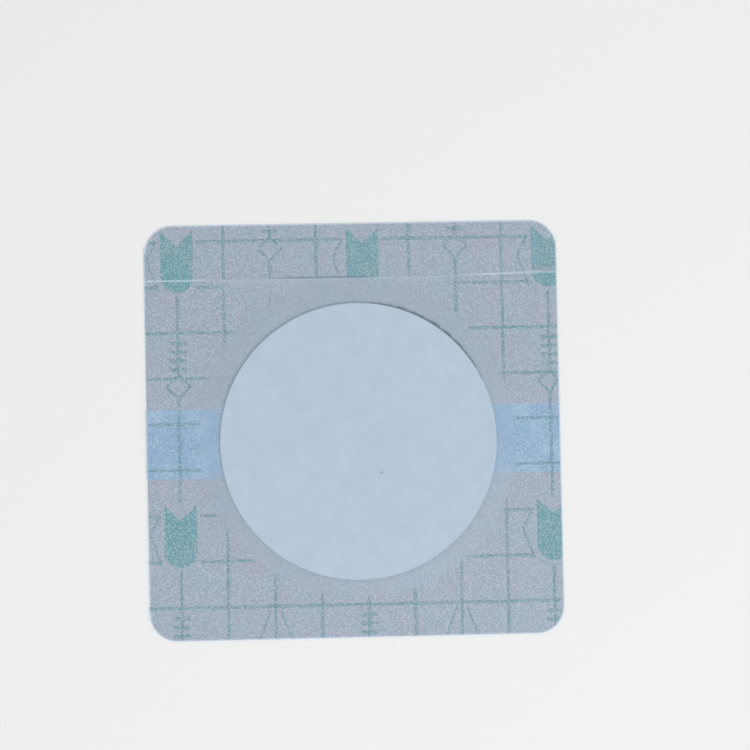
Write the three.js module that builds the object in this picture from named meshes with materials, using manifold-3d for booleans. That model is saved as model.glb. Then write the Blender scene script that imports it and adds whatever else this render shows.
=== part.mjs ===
// A medicated plaster, lying flat with its release liner up.
// A square backing film carries a printed grid and a blue band. A cake of paste lies on it under a white
// disc, and a frosted release liner in two pieces covers everything, tented over the disc.
// Millimetres, +Z up. The origin is the middle of the square, on the surface that the plaster lies on.

import * as THREE from "three";
import { mergeVertices } from "three/addons/utils/BufferGeometryUtils.js";
import Module from "manifold-3d";

// The sheet outline
const sheetWidth = 90; // from the slit side, at -X, to the side opposite
const sheetLength = 90;
const cornerRadius = 6;
const slitProud = 0.25; // how far the slit side stands outside the die's own left side
const nibReach = 1.2; // the slit runs on this far past where each left corner starts
const nibTaper = 0.4;

// The layers, from the bottom up
const filmThickness = 0.2;
const inkThickness = 0.05;
const pasteThickness = 0.7;
const coverThickness = 0.4;
const linerThickness = 0.12;

// The round pad
const padRadius = 30;
const padX = 1;
const padY = -2.5;
const coverEdgeRound = 0.12;
const pasteRadius = 27.5;
const pasteShift = 3.1; // the cake lies off centre, so a thin crescent of it shows past the disc
const pasteShiftAngle = 55;
const pasteBulge = 0.3; // the squeezed side of the cake bulges out by this much

// The liner's tent over the pad, and the cut that parts it in two
const drapeClearance = 0.3;
const drapeWidth = 7; // from the pad's edge to where the liner lies flat
const padToSlit = 5.5;
const slitGap = 0.3;

// The print
const bandWidth = 15;
const gridPitchX = 10.1;
const gridPitchY = 9.92;
const gridX = 2.6; // the grid line nearest to the middle
const gridY = 1.8;
const gridLine = 0.4;
const markColumns = 4; // the filled marks repeat after this many squares across
const markRows = 6; // and after this many squares along
const tabRow = -2; // the grid line, counted from gridY, that the lower tabs stand on
const tabWidth = 7;
const tabLength = 13.4;
const tabNotch = 3.2;
const tabAboveLine = 2.3; // a tab's head stands this far above the grid line that crosses it
const diamondReach = 2.6;
const diamondWall = 0.5;
const diamondBelowLine = 1.8;
const rungCount = 4;
const rungLength = 3.6;
const rungPitch = 1.9;
const rungWidth = 0.8;
const rungsAboveLine = 2; // the lowest rung stands this far above its grid line

// Facets
const roundSteps = 80;
const cornerSteps = 8;
const drapeSteps = 8;
const edgeSteps = 4;

const wasm = await Module();
wasm.setup();

// A closed geometry as a solid that can be joined and cut
function toSolid(geometry) {
  const bare = geometry.index ? geometry.toNonIndexed() : geometry.clone();
  bare.deleteAttribute("normal");
  bare.deleteAttribute("uv");
  const merged = mergeVertices(bare, 1e-5);
  return new wasm.Manifold(
    new wasm.Mesh({
      numProp: 3,
      vertProperties: new Float32Array(merged.attributes.position.array),
      triVerts: new Uint32Array(merged.index.array),
    }),
  );
}

function toGeometry(solid) {
  const { vertProperties, triVerts, numProp } = solid.getMesh();
  const points = new Float32Array(triVerts.length * 3);
  triVerts.forEach((vertex, i) => {
    for (let k = 0; k < 3; k++) points[3 * i + k] = vertProperties[vertex * numProp + k];
  });
  const geometry = new THREE.BufferGeometry();
  geometry.setAttribute("position", new THREE.BufferAttribute(points, 3));
  geometry.computeVertexNormals();
  return geometry;
}

function joined(solids) {
  return solids.reduce((whole, solid) => whole.add(solid));
}

// A box between two heights, given by its middle and its sides
function slab(x, y, width, length, low, high) {
  return new THREE.BoxGeometry(width, length, high - low).translate(x, y, (low + high) / 2);
}

// A flat shape as a plate between two heights
function plate(shape, low, high) {
  return new THREE.ExtrudeGeometry(shape, {
    depth: high - low,
    bevelEnabled: false,
    curveSegments: cornerSteps,
  }).translate(0, 0, low);
}

// A profile of [radius, height] points turned round an upright axis
function turned(profile, x, y) {
  const points = profile.map(([radius, height]) => new THREE.Vector2(radius, height));
  return new THREE.LatheGeometry(points, roundSteps).rotateX(Math.PI / 2).translate(x, y, 0);
}

// Heights of the layers
const filmTop = filmThickness;
const printTop = filmTop + inkThickness;
const pasteTop = printTop + pasteThickness;
const coverTop = pasteTop + coverThickness;

// The outline that one die cuts through backing and liner alike. The left side is a slit that was made
// before, a little further out, so that the left corners start from a small nib.
function sheetOutline() {
  const right = sheetWidth / 2;
  const slit = -sheetWidth / 2;
  const cornerX = slit + slitProud + cornerRadius;
  const cornerY = sheetLength / 2 - cornerRadius;
  const nibTip = cornerY + nibReach;
  const lean = Math.asin((nibReach + nibTaper) / cornerRadius);
  const shape = new THREE.Shape();
  shape.moveTo(slit, -nibTip);
  shape.absarc(cornerX, -cornerY, cornerRadius, Math.PI + lean, 1.5 * Math.PI, false);
  shape.absarc(right - cornerRadius, -cornerY, cornerRadius, -0.5 * Math.PI, 0, false);
  shape.absarc(right - cornerRadius, cornerY, cornerRadius, 0, 0.5 * Math.PI, false);
  shape.absarc(cornerX, cornerY, cornerRadius, 0.5 * Math.PI, Math.PI - lean, false);
  shape.lineTo(slit, nibTip);
  shape.closePath();
  return shape;
}

// The backing, with a shallow seat across it that the blue band fills
function backingFilm() {
  const film = toSolid(plate(sheetOutline(), 0, filmTop));
  const seat = slab(0, padY, 2 * sheetWidth, bandWidth, filmTop - inkThickness, 2 * filmTop);
  return toGeometry(film.subtract(toSolid(seat)));
}

function blueBand() {
  return slab(0, padY, sheetWidth, bandWidth, filmTop - inkThickness, filmTop);
}

// A filled mark with a round foot and two points at its head, centred on x with its head at y
function tabShape(x, head) {
  const half = tabWidth / 2;
  const foot = head - tabLength;
  const shape = new THREE.Shape();
  shape.moveTo(x - half, foot + half);
  shape.absarc(x, foot + half, half, Math.PI, 2 * Math.PI, false);
  shape.lineTo(x + half, head);
  shape.lineTo(x, head - tabNotch);
  shape.lineTo(x - half, head);
  shape.closePath();
  return shape;
}

function diamondShape(x, y) {
  const ring = (reach, path) => {
    path.moveTo(x + reach, y);
    path.lineTo(x, y + reach);
    path.lineTo(x - reach, y);
    path.lineTo(x, y - reach);
    path.closePath();
    return path;
  };
  const shape = ring(diamondReach, new THREE.Shape());
  shape.holes.push(ring(diamondReach - diamondWall, new THREE.Path()));
  return shape;
}

// The places of grid lines that reach from edge to edge, as counts of squares from the first one
function lineCounts(first, pitch, size) {
  const counts = [];
  for (let k = Math.ceil((-size / 2 - first) / pitch); first + k * pitch < size / 2; k++) counts.push(k);
  return counts;
}

// The steps from a mark's own line to this one, as a count that starts again every period
function phase(count, start, period) {
  return (((count - start) % period) + period) % period;
}

// The green print: both sets of lines, with tabs on every fourth line across, and diamonds with rungs above
// them halfway between the tabs. Each mark is first made deeper than the one before it, so that no two share
// a face, and the thin print is then cut from all of them together, trimmed to the sheet.
function gridPrint() {
  const columns = lineCounts(gridX, gridPitchX, sheetWidth);
  const rows = lineCounts(gridY, gridPitchY, sheetLength);
  const inks = [];
  const spare = () => inkThickness * (1 + inks.length);
  const flat = (shape) => inks.push(toSolid(plate(shape, filmTop - spare(), printTop + spare())));
  const bar = (x, y, width, length) =>
    inks.push(toSolid(slab(x, y, width, length, filmTop - spare(), printTop + spare())));
  for (const n of rows) bar(0, gridY + n * gridPitchY, 2 * sheetWidth, gridLine);
  for (const k of columns) {
    const x = gridX + k * gridPitchX;
    const markColumn = phase(k, 0, markColumns);
    bar(x, 0, gridLine, 2 * sheetLength);
    // One row more than there are lines, for rungs that reach in from a line outside the sheet
    for (const n of [rows[0] - 1, ...rows]) {
      const y = gridY + n * gridPitchY;
      const markRow = phase(n, tabRow, markRows);
      if (markColumn === 0 && markRow === 0) flat(tabShape(x, y + tabAboveLine));
      const diamondHere = (markColumn === 0 && markRow === markRows / 2)
        || (markColumn === markColumns / 2 && markRow === 0);
      if (!diamondHere) continue;
      if (n !== rows[0] - 1) flat(diamondShape(x, y - diamondBelowLine));
      for (let i = 0; i < rungCount; i++) {
        const rungY = y + rungsAboveLine + i * rungPitch;
        if (Math.abs(rungY) < sheetLength / 2) bar(x, rungY, rungLength, rungWidth);
      }
    }
  }
  return toGeometry(joined(inks).intersect(toSolid(plate(sheetOutline(), filmTop, printTop))));
}

// The cake of paste, with its pressed side bulging between two flat faces
function medicatedPaste() {
  const side = [];
  for (let i = 0; i <= edgeSteps; i++) {
    const t = i / edgeSteps;
    side.push([pasteRadius - pasteBulge + pasteBulge * Math.sin(Math.PI * t), printTop + t * pasteThickness]);
  }
  const angle = THREE.MathUtils.degToRad(pasteShiftAngle);
  const x = padX + pasteShift * Math.cos(angle);
  const y = padY + pasteShift * Math.sin(angle);
  return turned([[0, printTop], ...side, [0, pasteTop]], x, y);
}

// The white disc, punched from sheet, with its upper edge pressed slightly round
function padCover() {
  const edge = [];
  for (let i = 0; i <= edgeSteps; i++) {
    const turn = (i / edgeSteps) * (Math.PI / 2);
    edge.push([
      padRadius - coverEdgeRound + coverEdgeRound * Math.cos(turn),
      coverTop - coverEdgeRound + coverEdgeRound * Math.sin(turn),
    ]);
  }
  return turned([[0, pasteTop], [padRadius, pasteTop], ...edge, [0, coverTop]], padX, padY);
}

// How far the liner's underside stands above the print at a distance from the pad's middle
function drapeHeight(radius) {
  const t = THREE.MathUtils.clamp((radius - padRadius - drapeClearance) / drapeWidth, 0, 1);
  const fall = t * t * (3 - 2 * t);
  return (coverTop - printTop) * (1 - fall);
}

// The whole liner before it is slit: one sheet, flat on the pad, tented down round it and flat on the print
function wholeLiner() {
  const radii = [0];
  for (let i = 0; i <= drapeSteps; i++) {
    radii.push(padRadius + drapeClearance + (i / drapeSteps) * drapeWidth);
  }
  radii.push(sheetWidth + sheetLength);
  const under = radii.map((radius) => [radius, printTop + drapeHeight(radius)]);
  const over = under.map(([radius, height]) => [radius, height + linerThickness]).reverse();
  const sheet = toSolid(turned([...under, ...over], padX, padY));
  return sheet.intersect(toSolid(plate(sheetOutline(), 0, 2 * (coverTop + linerThickness))));
}

// The liner on one side of the slit: +1 is the narrow strip above it, -1 the large piece below it
function linerPiece(side) {
  const slitY = padY + padRadius + padToSlit;
  const reach = 2 * sheetLength;
  const half = slab(
    0, slitY + side * (reach + slitGap) / 2, 2 * sheetWidth, reach, 0, 2 * (coverTop + linerThickness),
  );
  return toGeometry(wholeLiner().intersect(toSolid(half)));
}

function sheetMaterial(color, roughness, opacity = 1) {
  return new THREE.MeshStandardMaterial({
    color, roughness, metalness: 0, opacity, transparent: opacity < 1, side: THREE.DoubleSide,
  });
}

const plaster = new THREE.Group();
plaster.name = "medicated_plaster";

function addPiece(name, geometry, material) {
  const mesh = new THREE.Mesh(geometry, material);
  mesh.name = name;
  plaster.add(mesh);
}

addPiece("backing_film", backingFilm(), sheetMaterial("#a6b0bd", 0.45));
addPiece("blue_band", blueBand(), sheetMaterial("#8fb0d2", 0.5));
addPiece("grid_print", gridPrint(), sheetMaterial("#6b9a9f", 0.6));
addPiece("medicated_paste", medicatedPaste(), sheetMaterial("#3d4650", 0.8));
addPiece("pad_cover", padCover(), sheetMaterial("#b9cad9", 0.85));
addPiece("release_liner", linerPiece(-1), sheetMaterial("#b4bfcb", 0.4, 0.35));
addPiece("liner_strip", linerPiece(1), sheetMaterial("#b4bfcb", 0.4, 0.35));

export default plaster;
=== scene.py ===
import math
import bmesh
import bpy
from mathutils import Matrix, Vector, noise


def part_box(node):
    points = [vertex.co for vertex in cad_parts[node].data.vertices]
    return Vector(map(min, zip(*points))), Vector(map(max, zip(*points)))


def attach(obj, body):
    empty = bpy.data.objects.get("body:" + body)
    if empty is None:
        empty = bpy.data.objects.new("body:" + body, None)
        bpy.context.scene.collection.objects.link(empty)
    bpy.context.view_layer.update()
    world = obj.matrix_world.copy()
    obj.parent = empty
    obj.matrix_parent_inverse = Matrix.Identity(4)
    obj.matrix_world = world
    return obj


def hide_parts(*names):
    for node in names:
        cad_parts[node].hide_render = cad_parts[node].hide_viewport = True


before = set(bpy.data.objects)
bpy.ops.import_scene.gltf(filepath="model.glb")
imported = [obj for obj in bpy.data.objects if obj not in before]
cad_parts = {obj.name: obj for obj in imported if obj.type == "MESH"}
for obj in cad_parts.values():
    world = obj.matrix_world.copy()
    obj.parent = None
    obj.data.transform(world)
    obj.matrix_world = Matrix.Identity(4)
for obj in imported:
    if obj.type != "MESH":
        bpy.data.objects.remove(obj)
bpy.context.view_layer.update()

# A medicated plaster lying flat, seen from above with its release liner up.
# Lengths are written in millimetres, and mm turns them to Blender's metres.
mm = 0.001


def boxInMm(node):
    low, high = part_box(node)
    return Vector(low) / mm, Vector(high) / mm


filmLow, filmHigh = boxInMm("backing_film")
inkLow, inkHigh = boxInMm("grid_print")
pasteLow, pasteHigh = boxInMm("medicated_paste")
coverLow, coverHigh = boxInMm("pad_cover")
linerHigh = boxInMm("release_liner")[1]
stripLow = boxInMm("liner_strip")[0]

padX = (coverLow.x + coverHigh.x) / 2
padY = (coverLow.y + coverHigh.y) / 2
padRadius = (coverHigh.x - coverLow.x) / 2
slitY = (stripLow.y + linerHigh.y) / 2
linerThickness = linerHigh.z - coverHigh.z


# Small helpers

def linear(hexColour):
    channels = [int(hexColour[i:i + 2], 16) / 255 for i in (1, 3, 5)]
    values = [c / 12.92 if c <= 0.04045 else ((c + 0.055) / 1.055) ** 2.4 for c in channels]
    return (*values, 1.0)


def smooth(t):
    t = min(max(t, 0.0), 1.0)
    return t * t * (3 - 2 * t)


def between(value, start, end):
    return smooth((value - start) / (end - start))


def addNode(tree, kind, inputs=None, **settings):
    # inputs go by name or number: a socket is linked, and anything else is the socket's value
    node = tree.nodes.new(kind)
    for name, value in settings.items():
        setattr(node, name, value)
    for name, value in (inputs or {}).items():
        if isinstance(value, bpy.types.NodeSocket):
            tree.links.new(value, node.inputs[name])
        else:
            node.inputs[name].default_value = value
    return node


def newMaterial(name, roughness, specular=0.3):
    material = bpy.data.materials.new(name)
    material.use_nodes = True
    shader = material.node_tree.nodes["Principled BSDF"]
    shader.inputs["Roughness"].default_value = roughness
    shader.inputs["Specular IOR Level"].default_value = specular
    return material, material.node_tree, shader


def newPiece(name, vertices, faces, material=None):
    mesh = bpy.data.meshes.new(name)
    mesh.from_pydata([Vector(v) * mm for v in vertices], [], faces)
    if material:
        mesh.materials.append(material)
    piece = bpy.data.objects.new(name, mesh)
    bpy.context.scene.collection.objects.link(piece)
    return piece


def turnOutwards(piece):
    shape = bmesh.new()
    shape.from_mesh(piece.data)
    bmesh.ops.remove_doubles(shape, verts=shape.verts, dist=1e-7)
    bmesh.ops.recalc_face_normals(shape, faces=shape.faces)
    shape.to_mesh(piece.data)
    shape.free()


def addValues(piece, name, valueAt):
    places = [vertex.co / mm for vertex in piece.data.vertices]
    values = piece.data.attributes.new(name, "FLOAT", "POINT")
    values.data.foreach_set("value", [valueAt(place) for place in places])


def shadeSmooth(piece, angle=35):
    piece.data.polygons.foreach_set("use_smooth", [True] * len(piece.data.polygons))
    piece.data.set_sharp_from_angle(angle=math.radians(angle))


def settle(piece, slotName, *nodes):
    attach(piece, "root")
    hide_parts(*nodes)


# The outline that one die cuts through the backing and the liner alike

outline = {
    "cornerRadius": 6.0,
    "slitProud": 0.25,  # the slit side stands this far outside the die's own left side
    "nibReach": 1.2,
    "nibTaper": 0.4,
    "arcStep": 0.35,
    "sideStep": 0.6,
}

cornerRadius = outline["cornerRadius"]
leftArcX = filmLow.x + outline["slitProud"] + cornerRadius
rightArcX = filmHigh.x - cornerRadius
arcY = filmHigh.y - cornerRadius
nibLean = math.asin((outline["nibReach"] + outline["nibTaper"]) / cornerRadius)
nibX = leftArcX - cornerRadius * math.cos(nibLean)


def arc(x, y, radius, start, end):
    count = math.ceil(abs(end - start) * radius / outline["arcStep"])
    angles = [start + (end - start) * i / count for i in range(count + 1)]
    return [(x + radius * math.cos(a), y + radius * math.sin(a)) for a in angles]


lowerRim = (
    [(filmLow.x, -arcY - outline["nibReach"])]
    + arc(leftArcX, -arcY, cornerRadius, math.pi + nibLean, 1.5 * math.pi)
    + arc(rightArcX, -arcY, cornerRadius, -0.5 * math.pi, 0)
)


def rimTop(x):
    # the upper side's y at x
    if x < nibX:
        return arcY + outline["nibReach"] + outline["nibTaper"] * (x - filmLow.x) / (nibX - filmLow.x)
    over = max(x - rightArcX, leftArcX - x, 0)
    return arcY + math.sqrt(max(cornerRadius ** 2 - over ** 2, 0))


def rimSides(y):
    # the left and right sides' x at y
    over = max(abs(y) - arcY, 0)
    reach = math.sqrt(max(cornerRadius ** 2 - over ** 2, 0))
    left = leftArcX - reach if over > outline["nibReach"] else filmLow.x
    return left, rightArcX + reach


def rimDistance(x, y):
    overX = max(x - rightArcX, leftArcX - x)
    overY = abs(y) - arcY
    if overX > 0 and overY > 0:
        return cornerRadius - math.hypot(overX, overY)
    return min(x - filmLow.x, filmHigh.x - x, filmHigh.y - abs(y))


def stepped(corners, step, closed=False):
    # a line of corners with points added at about every step
    points = []
    following = corners[1:] + corners[:1] if closed else corners[1:]
    for (x0, y0), (x1, y1) in zip(corners, following):
        count = max(1, round(math.hypot(x1 - x0, y1 - y0) / step))
        points += [(x0 + (x1 - x0) * i / count, y0 + (y1 - y0) * i / count) for i in range(count)]
    return points if closed else points + corners[-1:]


# How the liner lies: tented over the pad, and sprung up a little along the slit

tent = {
    "clearance": 0.25,
    "sink": 0.005,  # keeps the liner's top inside the frame's box
    # how far out the liner comes down, by direction in degrees from +X
    "widths": {0: 5.2, 45: 5.4, 90: 7.5, 135: 7.0, 180: 5.6, 225: 5.0, 270: 4.4, 315: 5.6},
    "ripple": 0.03,
    "rippleLength": 8.0,
}

slit = {
    "gap": 0.06,
    "bendFrom": 14.0,  # the cut bends a little towards the strip from here
    "bendTo": 42.0,
    "bendRise": 0.6,
    "springFrom": -34.0,  # the large piece's free edge stands up between here
    "springTo": 27.0,  # and here
    "spring": 0.34,
    "springReach": 3.4,
    "springEase": 10.0,  # and rises and falls over this length
    "endSpringFrom": 28.0,  # and the strip's own edge from here to the right
    "endSpring": 0.26,
    "endSpringReach": 1.3,
}

tentHeight = coverHigh.z - inkHigh.z - tent["sink"]


def slitAt(x):
    return slitY + slit["bendRise"] * between(x, slit["bendFrom"], slit["bendTo"])


def fromPad(x, y):
    # distance outside the pad's edge, and the direction in degrees
    away = math.hypot(x - padX, y - padY) - padRadius
    return away, math.degrees(math.atan2(y - padY, x - padX)) % 360


def tentWidth(direction):
    keys = sorted(tent["widths"])
    start = max(k for k in keys if k <= direction)
    end = min([k for k in keys if k > direction] or [360])
    first, second = tent["widths"][start], tent["widths"][end % 360]
    return first + (second - first) * smooth((direction - start) / (end - start))


def tentShare(x, y):
    # 1 over the pad, 0 where the liner lies on the print
    away, direction = fromPad(x, y)
    return 1 - between(away, tent["clearance"], tent["clearance"] + tentWidth(direction))


def springShare(x, y):
    rise = between(x, slit["springFrom"], slit["springFrom"] + slit["springEase"])
    fall = 1 - between(x, slit["springTo"] - slit["springEase"], slit["springTo"])
    return rise * fall * math.exp(-max(slitAt(x) - y, 0) / slit["springReach"])


def linerGap(x, y):
    tented = tentHeight * tentShare(x, y)
    sprung = slit["spring"] * springShare(x, y)
    return min((tented ** 3 + sprung ** 3) ** (1 / 3), tentHeight)


def stripGap(x, y):
    share = between(x, slit["endSpringFrom"], filmHigh.x)
    return slit["endSpring"] * share * math.exp(-max(y - slitAt(x), 0) / slit["endSpringReach"])


def ripple(x, y):
    wave = 0.5 + 0.5 * noise.noise(Vector((x, y, 3.7)) / tent["rippleLength"])
    return tent["ripple"] * wave * (1 - tentShare(x, y))


def linerLowAt(x, y):
    return inkHigh.z + linerGap(x, y) + ripple(x, y)


def stripLowAt(x, y):
    return inkHigh.z + stripGap(x, y) + ripple(x, y)


# Closed solids made from a flat net of points between two heights

def closedNet(name, net, faces, rim, lowAt, highAt, material):
    count = len(net)
    vertices = [(x, y, highAt(x, y)) for x, y in net] + [(x, y, lowAt(x, y)) for x, y in net]
    under = [tuple(i + count for i in reversed(face)) for face in faces]
    walls = [(a, a + count, b + count, b) for a, b in zip(rim, rim[1:] + rim[:1])]
    return newPiece(name, vertices, faces + under + walls, material)


def fanNet(rim, radii, steps, margins):
    # rings round the pad's middle, at fixed radii, then in even steps, then at margins from the rim
    count = len(rim)
    spokes = []
    for x, y in rim:
        reach = math.hypot(x - padX, y - padY)
        span = reach - margins[0] - radii[-1]
        outs = radii + [radii[-1] + span * i / (steps + 1) for i in range(1, steps + 1)]
        outs += [reach - margin for margin in margins]
        spokes.append([(padX + (x - padX) * out / reach, padY + (y - padY) * out / reach) for out in outs])
    ringCount = len(spokes[0])
    net = [(padX, padY)] + [spoke[ring] for ring in range(ringCount) for spoke in spokes]
    faces = [(0, 1 + i, 1 + (i + 1) % count) for i in range(count)]
    for ring in range(ringCount - 1):
        start = 1 + ring * count
        for i in range(count):
            j = (i + 1) % count
            faces.append((start + i, start + count + i, start + count + j, start + j))
    return net, faces, [1 + (ringCount - 1) * count + i for i in range(count)]


# Glassine: paper pressed until it is translucent, with a satin face. Where it touches the tacky film
# it is clearer, with fine pale specks, and where it stands off it turns to an even frost.

glassine = {
    "colour": "#a2b3c3",
    "speckColour": "#d3dee8",
    "frostColour": "#b3c6d8",
    "padColour": "#b5c5d5",
    # painted shade at the pad's foot and above the slit, and a painted highlight where the cut edges catch
    # the light
    "shadeColour": "#6c849a",
    "paintedHighlightColour": "#d4e1eb",
    "touching": 0.37,  # how much the sheet hides where it lies on the print
    "speckHides": 0.65,
    "lifted": 0.56,
    "padHides": 0.4,
    "shadeHides": 0.8,
    "paintedHighlightHides": 0.9,
    "wetHides": 0.34,
    "speckMm": 0.43,
    "speckRim": 0.54,  # from a speck's middle to its rim, against the specks' spacing
    "speckCore": 0.16,
    "cloudMm": 12.0,
    "roughness": 0.6,
}


def glassineMaterial():
    material, tree, shader = newMaterial("glassine", glassine["roughness"])
    place = addNode(tree, "ShaderNodeTexCoord").outputs["Object"]
    frost, onPad, edge, wet, shade = [
        addNode(tree, "ShaderNodeAttribute", attribute_name=name).outputs["Fac"]
        for name in ("frost", "onPad", "paintedEdgeHighlight", "wet", "shade")
    ]
    # the specks are the spots where air stays between sheet and film, of all sizes and nowhere in rows
    grain = addNode(tree, "ShaderNodeTexVoronoi", {
        "Vector": place, "Scale": 1 / (glassine["speckMm"] * mm),
    }).outputs["Distance"]
    specks = addNode(tree, "ShaderNodeMapRange", {
        "Value": grain, "From Min": glassine["speckRim"], "From Max": glassine["speckCore"],
    })
    cloud = addNode(tree, "ShaderNodeTexNoise", {
        "Vector": place, "Scale": 1 / (glassine["cloudMm"] * mm), "Detail": 2.0,
    }).outputs["Fac"]
    clouds = addNode(tree, "ShaderNodeMapRange", {
        "Value": cloud, "From Min": 0.3, "From Max": 0.7, "To Min": 0.92, "To Max": 1.05,
    })

    # how much the whole sheet hides: specked where it touches, more even where it is lifted
    hides = addNode(tree, "ShaderNodeMapRange", {
        "Value": specks.outputs[0], "To Min": glassine["touching"], "To Max": glassine["speckHides"],
    }).outputs[0]
    half = addNode(tree, "ShaderNodeMath", {0: frost, 1: 0.5}, operation="MULTIPLY").outputs[0]
    hides = addNode(tree, "ShaderNodeMix", {0: half, 2: hides, 3: glassine["lifted"]}).outputs[0]
    hides = addNode(tree, "ShaderNodeMath", {0: hides, 1: clouds.outputs[0]}, operation="MULTIPLY")
    hides = hides.outputs[0]
    # edge is a painted highlight along the cut edges, and shade is painted shade
    for share, limit in (
        (onPad, "padHides"), (shade, "shadeHides"), (edge, "paintedHighlightHides"), (wet, "wetHides"),
    ):
        hides = addNode(tree, "ShaderNodeMix", {0: share, 2: hides, 3: glassine[limit]}).outputs[0]
    # it has two faces, so that each lets through the square root of what both let through
    through = addNode(tree, "ShaderNodeMath", {0: 1.0, 1: hides}, operation="SUBTRACT", use_clamp=True)
    through = addNode(tree, "ShaderNodeMath", {0: through.outputs[0]}, operation="SQRT")
    alpha = addNode(tree, "ShaderNodeMath", {0: 1.0, 1: through.outputs[0]}, operation="SUBTRACT")

    # sockets 6 and 7 are the two colours of a colour mix, and output 2 is its colour
    colour = addNode(tree, "ShaderNodeMix", {
        0: specks.outputs[0], 6: linear(glassine["colour"]), 7: linear(glassine["speckColour"]),
    }, data_type="RGBA").outputs[2]
    for share, tint in (
        (half, "frostColour"), (onPad, "padColour"), (shade, "shadeColour"), (edge, "paintedHighlightColour"),
    ):
        colour = addNode(tree, "ShaderNodeMix", {0: share, 6: colour, 7: linear(glassine[tint])},
                         data_type="RGBA").outputs[2]
    tree.links.new(colour, shader.inputs["Base Color"])
    tree.links.new(alpha.outputs[0], shader.inputs["Alpha"])
    grained = addNode(tree, "ShaderNodeBump", {"Height": grain, "Distance": 0.01 * mm, "Strength": 0.3})
    tree.links.new(grained.outputs[0], shader.inputs["Normal"])
    return material


linerEdges = {
    "padEdge": (-0.05, 0.15),  # the pad's own look ends between these, from its edge outwards
    "slitWidth": 0.28,  # how far in from each cut the painted highlight reaches
    "highlightLeft": (26.0, 36.0),  # the painted highlight grows stronger between these, left of the middle
    "highlightRight": (22.0, 30.0),  # and right of it
    "slitLeast": 0.35,  # how strong the painted highlight is in the middle, against the ends
    # how far in from the outer rim the painted highlight reaches
    "rimWidth": 0.45,
    "frostFull": 0.42,  # the gap at which the liner no longer shows what lies under it
    "wetStart": (24.0, 36.0),  # the paste wets the liner between these directions, in degrees
    "wetEnd": (78.0, 90.0),
    "wetInner": (-0.2, 0.05),
    "wetOuter": (0.6, 1.1),
    "footShade": 0.08,
    "footInner": (-0.1, 0.1),
    "footReach": 0.9,
    "slitShade": 1.0,
    "slitShadeLeft": (-20.0, -12.0),
    "slitShadeRight": (0.0, 7.0),
    "slitShadeTop": (0.1, 0.7),
}


def addLinerLooks(piece, gapAt, slitSide):
    def frost(place):
        return smooth(gapAt(place.x, place.y) / linerEdges["frostFull"])

    def onPad(place):
        return 1 - between(fromPad(place.x, place.y)[0], *linerEdges["padEdge"])

    # a painted highlight where the sheet's cut edges catch the light: all round the rim, and along the slit,
    # fainter in its middle
    def paintedEdgeHighlight(place):
        toSlit = abs(place.y - slitAt(place.x)) - slit["gap"] / 2
        left = between(-place.x, *linerEdges["highlightLeft"])
        right = between(place.x, *linerEdges["highlightRight"])
        slitHighlight = max(left, right, linerEdges["slitLeast"])
        atSlit = slitHighlight * (1 - between(toSlit, 0, linerEdges["slitWidth"]))
        return max(atSlit, 1 - between(rimDistance(place.x, place.y), 0, linerEdges["rimWidth"]))

    def wet(place):
        away, direction = fromPad(place.x, place.y)
        along = between(direction, *linerEdges["wetStart"]) * (1 - between(direction, *linerEdges["wetEnd"]))
        return along * between(away, *linerEdges["wetInner"]) * (1 - between(away, *linerEdges["wetOuter"]))

    def shade(place):
        away = fromPad(place.x, place.y)[0]
        inner, outer = linerEdges["footInner"]
        foot = between(away, inner, outer) * (1 - between(away, outer, linerEdges["footReach"]))
        if slitSide < 0:
            return linerEdges["footShade"] * foot
        left = between(place.x, *linerEdges["slitShadeLeft"])
        right = 1 - between(place.x, *linerEdges["slitShadeRight"])
        above = 1 - between(place.y - slitAt(place.x), *linerEdges["slitShadeTop"])
        return max(linerEdges["footShade"] * foot, linerEdges["slitShade"] * left * right * above)

    looks = {"frost": frost, "onPad": onPad, "paintedEdgeHighlight": paintedEdgeHighlight, "wet": wet, "shade": shade}
    for name, valueAt in looks.items():
        addValues(piece, name, valueAt)


def makeLiner(material):
    steps = 150
    xs = [filmHigh.x + (filmLow.x - filmHigh.x) * i / steps for i in range(steps + 1)]
    rim = stepped(lowerRim + [(x, slitAt(x) - slit["gap"] / 2) for x in xs], outline["sideStep"], True)
    # rings close together where the sheet bends over the pad's edge
    radii = [5, 10, 15, 20, 24, 27, 29, 29.6, 29.9, 30.1, 30.3, 30.5, 30.7]
    radii += [31.0, 31.4, 31.9, 32.5, 33.1, 33.7, 34.3]
    net, faces, edge = fanNet(rim, radii, 20, [0.6, 0.4, 0.22, 0.1, 0.0])
    piece = closedNet("linerSheet", net, faces, edge, linerLowAt,
                      lambda x, y: linerLowAt(x, y) + linerThickness, material)
    addLinerLooks(piece, linerGap, -1)
    return piece


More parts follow.
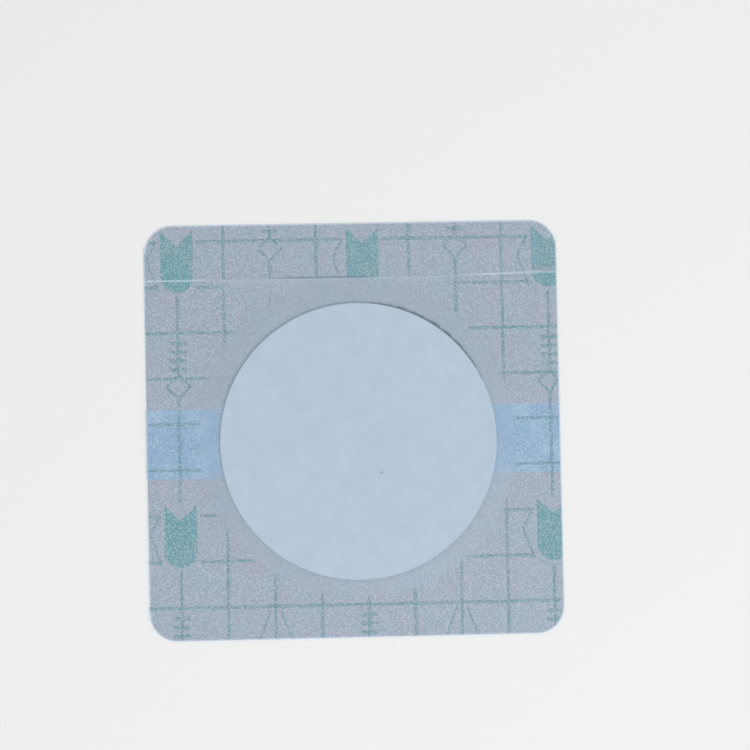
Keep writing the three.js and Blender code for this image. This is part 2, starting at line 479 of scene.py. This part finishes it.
def makeStrip(material):
    offsets = [0, 0.1, 0.22, 0.35, 0.5, 0.7, 1.0, 1.4, 1.9, 2.6, 3.6]
    shares = [0.2, 0.4, 0.6, 0.8]
    margins = [0.6, 0.4, 0.2, 0.0]
    corner = arc(leftArcX, arcY, cornerRadius, math.pi - nibLean, 0.5 * math.pi)
    corner += arc(rightArcX, arcY, cornerRadius, 0.5 * math.pi, 0)
    columns = [x for x, y in stepped([(filmLow.x, 0)] + [(x, 0) for x, y in corner], outline["sideStep"])]
    net = []
    for x in columns:
        low, high = slitAt(x) + slit["gap"] / 2, rimTop(x)
        start, end = low + offsets[-1], high - margins[0]
        ys = [low + offset for offset in offsets]
        ys += [start + (end - start) * share for share in shares]
        ys += [high - margin for margin in margins]
        net += [(x, y) for y in ys]
    rows = len(offsets) + len(shares) + len(margins)
    last = (len(columns) - 1) * rows
    faces = [(c * rows + r, (c + 1) * rows + r, (c + 1) * rows + r + 1, c * rows + r + 1)
             for c in range(len(columns) - 1) for r in range(rows - 1)]
    edge = [c * rows for c in range(len(columns))] + [last + r for r in range(1, rows)]
    edge += [c * rows + rows - 1 for c in range(len(columns) - 2, -1, -1)] + list(range(rows - 2, 0, -1))
    piece = closedNet("linerStrip", net, faces, edge, stripLowAt,
                      lambda x, y: stripLowAt(x, y) + linerThickness, material)
    addLinerLooks(piece, stripGap, 1)
    return piece


glassineSheet = glassineMaterial()
linerSheet = makeLiner(glassineSheet)
linerStrip = makeStrip(glassineSheet)
for sheet, node in ((linerSheet, "release_liner"), (linerStrip, "liner_strip")):
    shadeSmooth(sheet)
    sheet.visible_shadow = False  # so thin a sheet only tints what lies under it
    settle(sheet, "liner", node)
print("release liner made")


# PU film on its thin carrier: smooth, a little milky, with a warm cast where the ground shows through

puFilm = {
    "colour": "#9fabb9",
    "warm": "#a8a9b4",
    "cloudMm": 9.0,
    "roughness": 0.4,
}


def puFilmMaterial():
    material, tree, shader = newMaterial("puFilm", puFilm["roughness"])
    place = addNode(tree, "ShaderNodeTexCoord").outputs["Object"]
    cloud = addNode(tree, "ShaderNodeTexNoise", {
        "Vector": place, "Scale": 1 / (puFilm["cloudMm"] * mm), "Detail": 3.0,
    }).outputs["Fac"]
    warmth = addNode(tree, "ShaderNodeMapRange", {"Value": cloud, "From Min": 0.35, "From Max": 0.65})
    colour = addNode(tree, "ShaderNodeMix", {
        0: warmth.outputs[0], 6: linear(puFilm["colour"]), 7: linear(puFilm["warm"]),
    }, data_type="RGBA").outputs[2]
    tree.links.new(colour, shader.inputs["Base Color"])
    return material


# Blue flexographic ink: thin and even, laid down in soft lighter and darker fields

blueInk = {
    "colour": "#8bb2d0",
    "dark": "#81aace",
    "light": "#9abdd8",
    "fieldMm": 7.0,
    "darkEdge": (0.42, 0.5),  # the noise's values at which one field turns to the next
    "lightEdge": (0.54, 0.62),
    "roughness": 0.5,
}


def blueInkMaterial():
    material, tree, shader = newMaterial("blueInk", blueInk["roughness"])
    place = addNode(tree, "ShaderNodeTexCoord").outputs["Object"]
    field = addNode(tree, "ShaderNodeTexNoise", {
        "Vector": place, "Scale": 1 / (blueInk["fieldMm"] * mm), "Detail": 1.0,
    }).outputs["Fac"]
    fromDark, toLight = [
        addNode(tree, "ShaderNodeMapRange", {"Value": field, "From Min": low, "From Max": high})
        for low, high in (blueInk["darkEdge"], blueInk["lightEdge"])
    ]
    colour = addNode(tree, "ShaderNodeMix", {
        0: fromDark.outputs[0], 6: linear(blueInk["dark"]), 7: linear(blueInk["colour"]),
    }, data_type="RGBA").outputs[2]
    colour = addNode(tree, "ShaderNodeMix", {
        0: toLight.outputs[0], 6: colour, 7: linear(blueInk["light"]),
    }, data_type="RGBA").outputs[2]
    tree.links.new(colour, shader.inputs["Base Color"])
    return material


def coat(node, material):
    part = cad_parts[node]
    part.data.materials.clear()
    part.data.materials.append(material)


coat("backing_film", puFilmMaterial())
coat("blue_band", blueInkMaterial())
print("backing film and blue band coated")


# The printed ink: thin strokes that follow routes, and filled tabs

inkPrint = {
    "pitchX": 10.1,
    "pitchY": 9.92,
    "firstX": 2.6,  # the grid line nearest to the middle
    "firstY": 1.8,
    "lineWidth": 0.7,
    "markColumns": 4,
    "markRows": 6,
    "tabRow": -2,
    "tabWidth": 7.0,
    "tabLength": 13.4,
    "tabNotch": 3.2,
    "tabAboveLine": 2.3,
    "tabMargin": 0.75,  # lines stop this far short of a tab
    "diamondReach": 2.6,
    "diamondBelowLine": 1.8,
    "diamondWidth": 0.55,
    "diamondStep": 0.45,
    "rungCount": 4,
    "rungLength": 3.6,
    "rungPitch": 1.9,
    "rungsAboveLine": 2.0,
    "rungWidth": 0.8,
    "rungMargin": 0.3,
    "rungLeast": 1.0,  # what the rim leaves of a rung is drawn when it is longer than this
    "sideMargin": 0.4,
    "chevron": ((1.0, 2.4), (3.1, 6.4), (0.6, 13.0)),  # corners, out from a tab and down from its head
    "chevronStep": 0.6,
    "splayBelowLine": 0.9,
    "splayStart": 1.1,
    "splayEnd": 3.4,
    "splayMargin": 0.2,
    "thinWidth": 0.42,
    "step": 0.7,
    "tabStep": 0.8,
    "fadeGap": (0.02, 0.2),  # the gap over the ink at which it starts and ends to fade from view
    "lineInk": 0.72,  # how much of the tabs' ink the lines carry
    "wander": 0.08,  # the printed edge strays about half this far to either side
    "wanderLength": 1.6,
    "layerStep": 0.003,  # crossing strokes lie this far above one another
    "intoFilm": 0.01,
    "rimMargin": 0.12,
}


def strokeTree():
    tree = bpy.data.node_groups.new("inkStrokes", "GeometryNodeTree")
    sockets = tree.interface
    sockets.new_socket("Routes", in_out="INPUT", socket_type="NodeSocketGeometry")
    for name in ("Line Width", "Ink Depth", "Step", "Wander", "Wander Length"):
        sockets.new_socket(name, in_out="INPUT", socket_type="NodeSocketFloat")
    sockets.new_socket("Ink", in_out="INPUT", socket_type="NodeSocketMaterial")
    sockets.new_socket("Strokes", in_out="OUTPUT", socket_type="NodeSocketGeometry")
    source = addNode(tree, "NodeGroupInput").outputs
    curve = addNode(tree, "GeometryNodeMeshToCurve", {"Mesh": source["Routes"]})
    curve = addNode(tree, "GeometryNodeResampleCurve", {
        "Curve": curve.outputs[0], "Length": source["Step"],
    }, mode="LENGTH")

    # a printed line's edge is never quite straight
    scale = addNode(tree, "ShaderNodeMath", {0: 1.0, 1: source["Wander Length"]}, operation="DIVIDE")
    wobble = addNode(tree, "ShaderNodeTexNoise", {"Scale": scale.outputs[0], "Detail": 1.0})
    wobble = addNode(tree, "ShaderNodeVectorMath", {0: wobble.outputs["Color"], 1: (0.5, 0.5, 0.5)},
                     operation="SUBTRACT")
    wobble = addNode(tree, "ShaderNodeVectorMath", {0: wobble.outputs[0], 1: (1, 1, 0)},
                     operation="MULTIPLY")
    wobble = addNode(tree, "ShaderNodeVectorMath", {0: wobble.outputs[0], "Scale": source["Wander"]},
                     operation="SCALE")
    curve = addNode(tree, "GeometryNodeSetPosition", {
        "Geometry": curve.outputs[0], "Offset": wobble.outputs[0],
    })
    curve = addNode(tree, "GeometryNodeSetCurveNormal", {"Curve": curve.outputs[0]}, mode="Z_UP")

    # the profile knows how far across the line each of its points is, from 0 in the middle to 1
    profile = addNode(tree, "GeometryNodeCurvePrimitiveQuadrilateral", {
        "Width": source["Line Width"], "Height": source["Ink Depth"],
    })
    profile = addNode(tree, "GeometryNodeSubdivideCurve", {"Curve": profile.outputs[0], "Cuts": 1})
    offset = addNode(tree, "GeometryNodeInputPosition")
    offset = addNode(tree, "ShaderNodeSeparateXYZ", {0: offset.outputs[0]})
    across = addNode(tree, "ShaderNodeMath", {0: offset.outputs["X"], 1: source["Line Width"]},
                     operation="DIVIDE")
    across = addNode(tree, "ShaderNodeMath", {0: across.outputs[0]}, operation="ABSOLUTE")
    across = addNode(tree, "ShaderNodeMath", {0: across.outputs[0], 1: 2.0}, operation="MULTIPLY")
    profile = addNode(tree, "GeometryNodeStoreNamedAttribute", {
        "Geometry": profile.outputs[0], "Name": "across", "Value": across.outputs[0],
    }, data_type="FLOAT", domain="POINT")

    stroke = addNode(tree, "GeometryNodeCurveToMesh", {
        "Curve": curve.outputs[0], "Profile Curve": profile.outputs[0], "Fill Caps": True,
    })
    stroke = addNode(tree, "GeometryNodeRealizeInstances", {"Geometry": stroke.outputs[0]})
    stroke = addNode(tree, "GeometryNodeSetMaterial", {
        "Geometry": stroke.outputs[0], "Material": source["Ink"],
    })
    addNode(tree, "NodeGroupOutput", {"Strokes": stroke.outputs[0]})
    return tree


def drawStrokes(name, tree, routes, values):
    # routes are lists of (x, y, z) points, and values are the tree's inputs by name
    vertices = [point for route in routes for point in route]
    edges = []
    start = 0
    for route in routes:
        edges += [(start + i, start + i + 1) for i in range(len(route) - 1)]
        start += len(route)
    mesh = bpy.data.meshes.new(name + "Routes")
    mesh.from_pydata([Vector(v) * mm for v in vertices], edges, [])
    holder = bpy.data.objects.new(name + "Routes", mesh)
    bpy.context.scene.collection.objects.link(holder)
    modifier = holder.modifiers.new("strokes", "NODES")
    modifier.node_group = tree
    for item in tree.interface.items_tree:
        if item.in_out == "INPUT" and item.name in values:
            modifier[item.identifier] = values[item.name]
    ready = holder.evaluated_get(bpy.context.evaluated_depsgraph_get())
    drawn = bpy.data.meshes.new_from_object(ready)
    bpy.data.objects.remove(holder)
    piece = bpy.data.objects.new(name, drawn)
    bpy.context.scene.collection.objects.link(piece)
    turnOutwards(piece)
    return piece


def markPlaces():
    # the lines' own places, and the crossings where tabs and diamonds repeat
    p = inkPrint
    columns = [k for k in range(-9, 10) if filmLow.x < p["firstX"] + k * p["pitchX"] < filmHigh.x]
    rows = [n for n in range(-9, 10) if filmLow.y < p["firstY"] + n * p["pitchY"] < filmHigh.y]
    tabs, diamonds = [], []
    for k in columns:
        for n in [rows[0] - 1] + rows:
            x, y = p["firstX"] + k * p["pitchX"], p["firstY"] + n * p["pitchY"]
            column, row = k % p["markColumns"], (n - p["tabRow"]) % p["markRows"]
            if (column, row) == (0, 0):
                tabs.append((x, y + p["tabAboveLine"]))
            if (column, row) in ((0, p["markRows"] // 2), (p["markColumns"] // 2, 0)):
                diamonds.append((x, y))
    xs = [p["firstX"] + k * p["pitchX"] for k in columns]
    ys = [p["firstY"] + n * p["pitchY"] for n in rows]
    return xs, ys, tabs, diamonds


def runs(start, end, gaps):
    # what is left of a line once the gaps are taken out of it
    left = []
    for low, high in sorted(gaps):
        if low > start:
            left.append((start, min(low, end)))
        start = max(start, high)
    return left + [(start, end)] if end > start else left


def underPad(x, y):
    return fromPad(x, y)[0] < -2


lineXs, lineYs, tabs, diamonds = markPlaces()
layer = inkPrint["layerStep"]
inkDepth = inkHigh.z - inkLow.z + inkPrint["intoFilm"]
inkMiddle = inkHigh.z - inkDepth / 2


def gridRoutes():
    p = inkPrint
    halfTab = p["tabWidth"] / 2 + p["tabMargin"]
    routes = []
    for x in lineXs:
        top = rimTop(x) - p["rimMargin"]
        gaps = [(head - p["tabLength"] - p["tabMargin"], head + p["tabMargin"])
                for tabX, head in tabs if abs(tabX - x) < 1]
        middles = [y - p["diamondBelowLine"] for markX, y in diamonds if abs(markX - x) < 1]
        gaps += [(middle - p["diamondReach"], middle + p["diamondReach"]) for middle in middles]
        for low, high in runs(-top, top, gaps):
            routes.append([(x, low, inkMiddle - 3 * layer), (x, high, inkMiddle - 3 * layer)])
    for y in lineYs:
        left, right = rimSides(y)
        gaps = [(tabX - halfTab, tabX + halfTab) for tabX, head in tabs if head - p["tabLength"] < y < head]
        for low, high in runs(left + p["rimMargin"], right - p["rimMargin"], gaps):
            routes.append([(low, y, inkMiddle - 2 * layer), (high, y, inkMiddle - 2 * layer)])
    return routes


def diamondRoutes():
    p = inkPrint
    reach = p["diamondReach"]
    routes = []
    for x, y in diamonds:
        middle = y - p["diamondBelowLine"]
        if underPad(x, middle) or abs(y) > filmHigh.y:
            continue
        corners = [(x + reach, middle), (x, middle + reach), (x - reach, middle), (x, middle - reach)]
        corners = [(min(cornerX, filmHigh.x - p["sideMargin"]), cornerY) for cornerX, cornerY in corners]
        corners = stepped(corners, p["diamondStep"], True)
        points = [(cornerX, cornerY, inkMiddle - layer) for cornerX, cornerY in corners]
        routes.append(points + points[:1])
    return routes


def rungRoutes():
    p = inkPrint
    half = p["rungLength"] / 2
    routes = []
    for x, y in diamonds:
        for i in range(p["rungCount"]):
            rungY = y + p["rungsAboveLine"] + i * p["rungPitch"]
            if abs(rungY) > filmHigh.y or underPad(x, rungY):
                continue
            left, right = rimSides(rungY)
            low, high = max(x - half, left + p["rungMargin"]), min(x + half, right - p["rungMargin"])
            if high - low > p["rungLeast"]:
                routes.append([(low, rungY, inkMiddle - layer), (high, rungY, inkMiddle - layer)])
    return routes


def chevronRoutes():
    # a thin chevron at the left of each tab, and two splayed strokes at the foot of the columns between
    p = inkPrint
    z = inkMiddle - 4 * layer
    routes = []
    for x, head in tabs:
        near = x - p["tabWidth"] / 2
        points = stepped([(near - out, head - down) for out, down in p["chevron"]], p["chevronStep"])
        points = [point for point in points if point[0] > filmLow.x + p["sideMargin"]]
        if not underPad(x, head - p["tabLength"] / 2) and len(points) > 3:
            routes.append([(px, py, z) for px, py in points])
    for x in (lineXs[k] for k in range(len(lineXs)) if k % p["markColumns"] == 2):
        top = lineYs[0] - p["splayBelowLine"]
        foot = filmLow.y + p["splayMargin"]
        for side in (-1, 1):
            routes.append([(x + side * p["splayStart"], top, z), (x + side * p["splayEnd"], foot, z)])
    return routes


# Water-based green ink on film: thin and matt. Seen through the glassine it breaks up into specks.

greenInk = {
    "colour": "#33a2a6",
    "paler": "#5bb0b1",
    "full": 0.82,  # how much the ink hides where it is full
    "thin": 0.42,  # and in its thin specks and along its edges
    "speckMm": 0.3,
    "patchMm": 6.0,
    "patchWear": 0.12,
    "edgeWear": 0.22,  # how much sooner the ink is worn along a line's edges
    "wornFrom": 0.45,
    "wornTo": 0.7,
    "roughness": 0.6,
}


def greenInkMaterial():
    material, tree, shader = newMaterial("greenInk", greenInk["roughness"])
    place = addNode(tree, "ShaderNodeTexCoord").outputs["Object"]
    hidden = addNode(tree, "ShaderNodeAttribute", attribute_name="hidden").outputs["Fac"]
    across = addNode(tree, "ShaderNodeAttribute", attribute_name="across").outputs["Fac"]
    grain = addNode(tree, "ShaderNodeTexNoise", {
        "Vector": place, "Scale": 1 / (greenInk["speckMm"] * mm), "Detail": 2.0, "Roughness": 0.65,
    }).outputs["Fac"]
    uneven = addNode(tree, "ShaderNodeTexNoise", {
        "Vector": place, "Scale": 1 / (greenInk["patchMm"] * mm), "Detail": 1.0,
    }).outputs["Fac"]
    uneven = addNode(tree, "ShaderNodeMapRange", {
        "Value": uneven, "From Min": 0.3, "From Max": 0.7,
        "To Min": -greenInk["patchWear"], "To Max": greenInk["patchWear"],
    })
    worn = addNode(tree, "ShaderNodeMath", {0: grain, 1: uneven.outputs[0]}, operation="ADD")
    worn = addNode(tree, "ShaderNodeMath", {0: across, 1: greenInk["edgeWear"], 2: worn.outputs[0]},
                   operation="MULTIPLY_ADD")
    worn = addNode(tree, "ShaderNodeMapRange", {
        "Value": worn.outputs[0], "From Min": greenInk["wornFrom"], "From Max": greenInk["wornTo"],
    })
    colour = addNode(tree, "ShaderNodeMix", {
        0: worn.outputs[0], 6: linear(greenInk["colour"]), 7: linear(greenInk["paler"]),
    }, data_type="RGBA").outputs[2]
    shows = addNode(tree, "ShaderNodeMix", {0: worn.outputs[0], 2: greenInk["full"], 3: greenInk["thin"]})
    shows = addNode(tree, "ShaderNodeMix", {0: hidden, 2: shows.outputs[0], 3: 0.0})
    tree.links.new(colour, shader.inputs["Base Color"])
    tree.links.new(shows.outputs[0], shader.inputs["Alpha"])
    return material


def hiddenAt(place):
    # 1 where the liner stands too far off for the ink to show through
    gap = stripGap(place.x, place.y) if place.y > slitAt(place.x) else linerGap(place.x, place.y)
    return between(gap, *inkPrint["fadeGap"])


def hiddenOnLine(place):
    # lines carry less ink than the broad fields
    return 1 - inkPrint["lineInk"] * (1 - hiddenAt(place))


def clippedToRim(points):
    # the tabs at the right run off the sheet, whose right side bulges outwards all along
    rim = arc(rightArcX, -arcY, cornerRadius, -0.5 * math.pi, 0)
    rim += arc(rightArcX, arcY, cornerRadius, 0, 0.5 * math.pi)
    shape = points
    for (x0, y0), (x1, y1) in zip(rim, rim[1:]):
        sides = [(x1 - x0) * (y - y0) - (y1 - y0) * (x - x0) for x, y in shape]
        kept = []
        for i, (ax, ay) in enumerate(shape):
            j = (i + 1) % len(shape)
            bx, by = shape[j]
            if sides[i] >= 0:
                kept.append((ax, ay))
            if sides[i] * sides[j] < 0:
                t = sides[i] / (sides[i] - sides[j])
                kept.append((ax + (bx - ax) * t, ay + (by - ay) * t))
        shape = kept
    return shape


def tabHalves(x, head):
    # two halves that bulge outwards all along, so that each can be clipped
    p = inkPrint
    half = p["tabWidth"] / 2
    middle = head - p["tabLength"] + half
    left = arc(x, middle, half, math.pi, 1.5 * math.pi) + [(x, head - p["tabNotch"]), (x - half, head)]
    right = arc(x, middle, half, 1.5 * math.pi, 2 * math.pi) + [(x + half, head), (x, head - p["tabNotch"])]
    return left, right


def makeTabs(material):
    shape = bmesh.new()
    for x, head in tabs:
        if underPad(x, head - inkPrint["tabLength"] / 2):
            continue
        for points in tabHalves(x, head):
            if x + inkPrint["tabWidth"] / 2 > filmHigh.x:
                points = clippedToRim(points)
            if len(points) > 2:
                shape.faces.new([shape.verts.new(Vector((px, py, inkHigh.z)) * mm) for px, py in points])
    bmesh.ops.remove_doubles(shape, verts=shape.verts, dist=1e-7)
    # cut across at even steps, so that what the liner hides starts sharply
    cuts = math.ceil((filmHigh.y - filmLow.y) / inkPrint["tabStep"])
    for i in range(1, cuts):
        level = filmLow.y + i * inkPrint["tabStep"]
        bmesh.ops.bisect_plane(shape, geom=shape.verts[:] + shape.edges[:] + shape.faces[:],
                               plane_co=Vector((0, level, 0)) * mm, plane_no=(0, 1, 0))
    bmesh.ops.triangulate(shape, faces=shape.faces)
    mesh = bpy.data.meshes.new("printTabs")
    shape.to_mesh(mesh)
    shape.free()
    mesh.materials.append(material)
    piece = bpy.data.objects.new("printTabs", mesh)
    bpy.context.scene.collection.objects.link(piece)
    solid = piece.modifiers.new("solid", "SOLIDIFY")
    solid.thickness = inkDepth * mm
    solid.offset = -1
    ready = piece.evaluated_get(bpy.context.evaluated_depsgraph_get())
    piece.data = bpy.data.meshes.new_from_object(ready)
    piece.modifiers.clear()
    turnOutwards(piece)
    return piece


ink = greenInkMaterial()
strokes = strokeTree()
common = {
    "Ink Depth": inkDepth * mm,
    "Step": inkPrint["step"] * mm,
    "Wander": inkPrint["wander"] * mm,
    "Wander Length": inkPrint["wanderLength"] * mm,
    "Ink": ink,
}
for name, routes, width in (
    ("gridLines", gridRoutes(), "lineWidth"),
    ("printDiamonds", diamondRoutes(), "diamondWidth"),
    ("printRungs", rungRoutes(), "rungWidth"),
    ("printChevrons", chevronRoutes(), "thinWidth"),
):
    lines = drawStrokes(name, strokes, routes, {**common, "Line Width": inkPrint[width] * mm})
    addValues(lines, "hidden", hiddenOnLine)
    settle(lines, "green_ink", "grid_print")
tabFields = makeTabs(ink)
addValues(tabFields, "hidden", hiddenAt)
settle(tabFields, "green_ink", "grid_print")
print("green print drawn")


# Paste: a dark herb cake, pressed flat, moist and granular where it squeezes past the disc

paste = {
    "grainMm": 0.5,
    "edgeRough": 0.32,
    "squeeze": 0.05,  # crumbs stand this far outside the frame's smooth cake
    "crumbScale": 1.6,
    "coarseScale": 0.3,
    "coarseShare": 0.6,
    "crumbLevel": 0.35,  # the noise under this level leaves a dent in the edge
    "colour": "#1d2833",
    "grainColour": "#4b5763",
    "roughness": 0.6,
    "steps": 480,
}
pasteRadius = (pasteHigh.x - pasteLow.x) / 2
pasteX = (pasteLow.x + pasteHigh.x) / 2
pasteY = (pasteLow.y + pasteHigh.y) / 2


def pasteMaterial():
    material, tree, shader = newMaterial("herbPaste", paste["roughness"])
    place = addNode(tree, "ShaderNodeTexCoord").outputs["Object"]
    grain = addNode(tree, "ShaderNodeTexNoise", {
        "Vector": place, "Scale": 1 / (paste["grainMm"] * mm), "Detail": 3.0, "Roughness": 0.7,
    }).outputs["Fac"]
    grains = addNode(tree, "ShaderNodeMapRange", {"Value": grain, "From Min": 0.38, "From Max": 0.66})
    colour = addNode(tree, "ShaderNodeMix", {
        0: grains.outputs[0], 6: linear(paste["colour"]), 7: linear(paste["grainColour"]),
    }, data_type="RGBA").outputs[2]
    tree.links.new(colour, shader.inputs["Base Color"])
    rough = addNode(tree, "ShaderNodeBump", {"Height": grain, "Distance": 0.15 * mm})
    tree.links.new(rough.outputs[0], shader.inputs["Normal"])
    return material


def makePaste(material):
    shares = [0.0, 0.15, 0.4, 0.6, 0.85, 1.0]
    heights = [pasteLow.z + (pasteHigh.z - pasteLow.z) * s for s in shares]
    tucks = [0.3, 0.12, 0.0, 0.0, 0.1, 0.35]
    count = paste["steps"]
    vertices = [(pasteX, pasteY, heights[0])]
    for height, tuck in zip(heights, tucks):
        for i in range(count):
            a = math.tau * i / count
            spot = Vector((math.cos(a), math.sin(a), 0)) * pasteRadius * paste["crumbScale"]
            crumb = noise.noise(spot + Vector((0, 0, height)))
            crumb += paste["coarseShare"] * noise.noise(spot * paste["coarseScale"])
            dent = paste["edgeRough"] * max(0.0, paste["crumbLevel"] - crumb)
            out = pasteRadius + paste["squeeze"] - tuck - dent
            vertices.append((pasteX + out * math.cos(a), pasteY + out * math.sin(a), height))
    vertices.append((pasteX, pasteY, heights[-1]))
    top = len(vertices) - 1
    faces = []
    for i in range(count):
        j = (i + 1) % count
        faces.append((0, 1 + j, 1 + i))
        for ring in range(len(heights) - 1):
            start = 1 + ring * count
            faces.append((start + i, start + j, start + count + j, start + count + i))
        faces.append((top, top - count + i, top - count + j))
    return newPiece("pasteCake", vertices, faces, material)


pasteCake = makePaste(pasteMaterial())
shadeSmooth(pasteCake)
settle(pasteCake, "paste", "medicated_paste")
print("paste cake made")


# Nonwoven: short fibres pressed to a smooth white felt, punched to a disc, faintly clouded

disc = {
    "colour": "#c3d0dc",
    "cloud": "#bccad7",
    "cloudMm": 3.5,
    "fibreMm": 0.3,
    "steps": 240,
    "topDrop": 0.02,  # room for the liner above the highest fibres
    "undulation": 0.02,
    "edgeRound": 0.14,
    "speck": (5.8, -9.4),
    "speckMm": 0.2,
    "speckColour": "#45464a",
    "stain": (-2.8, -11.1),
    "stainMm": 0.9,
    "stainColour": "#b9b9b4",
    "stainStrength": 0.25,
    "roughness": 0.85,
}


def nonwovenMaterial():
    material, tree, shader = newMaterial("nonwoven", disc["roughness"])
    place = addNode(tree, "ShaderNodeTexCoord").outputs["Object"]
    cloud = addNode(tree, "ShaderNodeTexNoise", {
        "Vector": place, "Scale": 1 / (disc["cloudMm"] * mm), "Detail": 3.0,
    }).outputs["Fac"]
    clouds = addNode(tree, "ShaderNodeMapRange", {"Value": cloud, "From Min": 0.35, "From Max": 0.65})
    colour = addNode(tree, "ShaderNodeMix", {
        0: clouds.outputs[0], 6: linear(disc["colour"]), 7: linear(disc["cloud"]),
    }, data_type="RGBA").outputs[2]
    # two stray marks, each by its distance from a point: a dark fibre speck and a faint stain
    for (x, y), size, strength, tint in (
        (disc["speck"], disc["speckMm"], 1.0, disc["speckColour"]),
        (disc["stain"], disc["stainMm"], disc["stainStrength"], disc["stainColour"]),
    ):
        flat = addNode(tree, "ShaderNodeVectorMath", {0: place, 1: (1, 1, 0)}, operation="MULTIPLY")
        away = addNode(tree, "ShaderNodeVectorMath", {0: flat.outputs[0], 1: (x * mm, y * mm, 0)},
                       operation="DISTANCE").outputs["Value"]
        mark = addNode(tree, "ShaderNodeMapRange", {
            "Value": away, "From Min": 0.4 * size * mm, "From Max": 1.6 * size * mm,
            "To Min": strength, "To Max": 0.0,
        })
        colour = addNode(tree, "ShaderNodeMix", {0: mark.outputs[0], 6: colour, 7: linear(tint)},
                         data_type="RGBA").outputs[2]
    tree.links.new(colour, shader.inputs["Base Color"])
    fibres = addNode(tree, "ShaderNodeTexNoise", {
        "Vector": place, "Scale": 1 / (disc["fibreMm"] * mm), "Detail": 2.0, "Roughness": 0.7,
    }).outputs["Fac"]
    felt = addNode(tree, "ShaderNodeBump", {"Height": fibres, "Distance": 0.02 * mm, "Strength": 0.5})
    tree.links.new(felt.outputs[0], shader.inputs["Normal"])
    return material


def discTopAt(x, y):
    wave = 0.5 + 0.5 * noise.noise(Vector((x, y, 9.1)) / disc["cloudMm"])
    inset = min(max(-fromPad(x, y)[0] / disc["edgeRound"], 0.0), 1.0)
    rounding = disc["edgeRound"] * (1 - math.sqrt(1 - (1 - inset) ** 2))
    return coverHigh.z - disc["topDrop"] - disc["undulation"] * wave - rounding


def makeDisc(material):
    angles = [math.tau * i / disc["steps"] for i in range(disc["steps"])]
    rim = [(padX + padRadius * math.cos(a), padY + padRadius * math.sin(a)) for a in angles]
    net, faces, edge = fanNet(rim, [2.0, 4.0], 22, [0.3, 0.14, 0.08, 0.03, 0.0])
    return closedNet("padDisc", net, faces, edge, lambda x, y: coverLow.z, discTopAt, material)


padDisc = makeDisc(nonwovenMaterial())
shadeSmooth(padDisc)
settle(padDisc, "cover", "pad_cover")
print("pad disc made")


# The camera stands where the photograph was taken, almost straight above

camera = {
    "lens": 85.0,
    "place": (-5.82, -0.76, 385.08),
    "turn": (1.895, -1.551, -1.133),
}
cameraData = bpy.data.cameras.new("camera")
cameraData.lens = camera["lens"]
cameraData.clip_start = 10 * mm
cameraObject = bpy.data.objects.new("camera", cameraData)
cameraObject.location = Vector(camera["place"]) * mm
cameraObject.rotation_euler = [math.radians(angle) for angle in camera["turn"]]
bpy.context.scene.collection.objects.link(cameraObject)
bpy.context.scene.camera = cameraObject

# A pale floor and soft studio light that comes mostly from below the picture, as in the photograph

studio = {
    "floorHalf": 1500.0,
    "floorColour": "#ececec",
    "lampPlace": (470.0, -610.0, 1530.0),
    "lampSize": 900.0,
    "lampPower": 16.5,
    "skyStrength": 0.56,
}
half = studio["floorHalf"]
floorCorners = [(-half, -half), (half, -half), (half, half), (-half, half)]
floorMaterial, floorTree, floorShader = newMaterial("floorPaper", 0.9, specular=0.5)
floorShader.inputs["Base Color"].default_value = linear(studio["floorColour"])
floor = newPiece("floor", [(x, y, filmLow.z) for x, y in floorCorners], [(0, 1, 2, 3)], floorMaterial)

lampData = bpy.data.lights.new("softbox", "AREA")
lampData.size = studio["lampSize"] * mm
lampData.energy = studio["lampPower"]
lamp = bpy.data.objects.new("softbox", lampData)
lamp.location = Vector(studio["lampPlace"]) * mm
lamp.rotation_euler = (-lamp.location).to_track_quat("-Z", "Y").to_euler()
bpy.context.scene.collection.objects.link(lamp)

world = bpy.data.worlds.new("studioSky")
world.use_nodes = True
world.node_tree.nodes["Background"].inputs["Color"].default_value = (1, 1, 1, 1)
world.node_tree.nodes["Background"].inputs["Strength"].default_value = studio["skyStrength"]
bpy.context.scene.world = world
bpy.context.scene.view_settings.view_transform = "Standard"
print("studio ready")
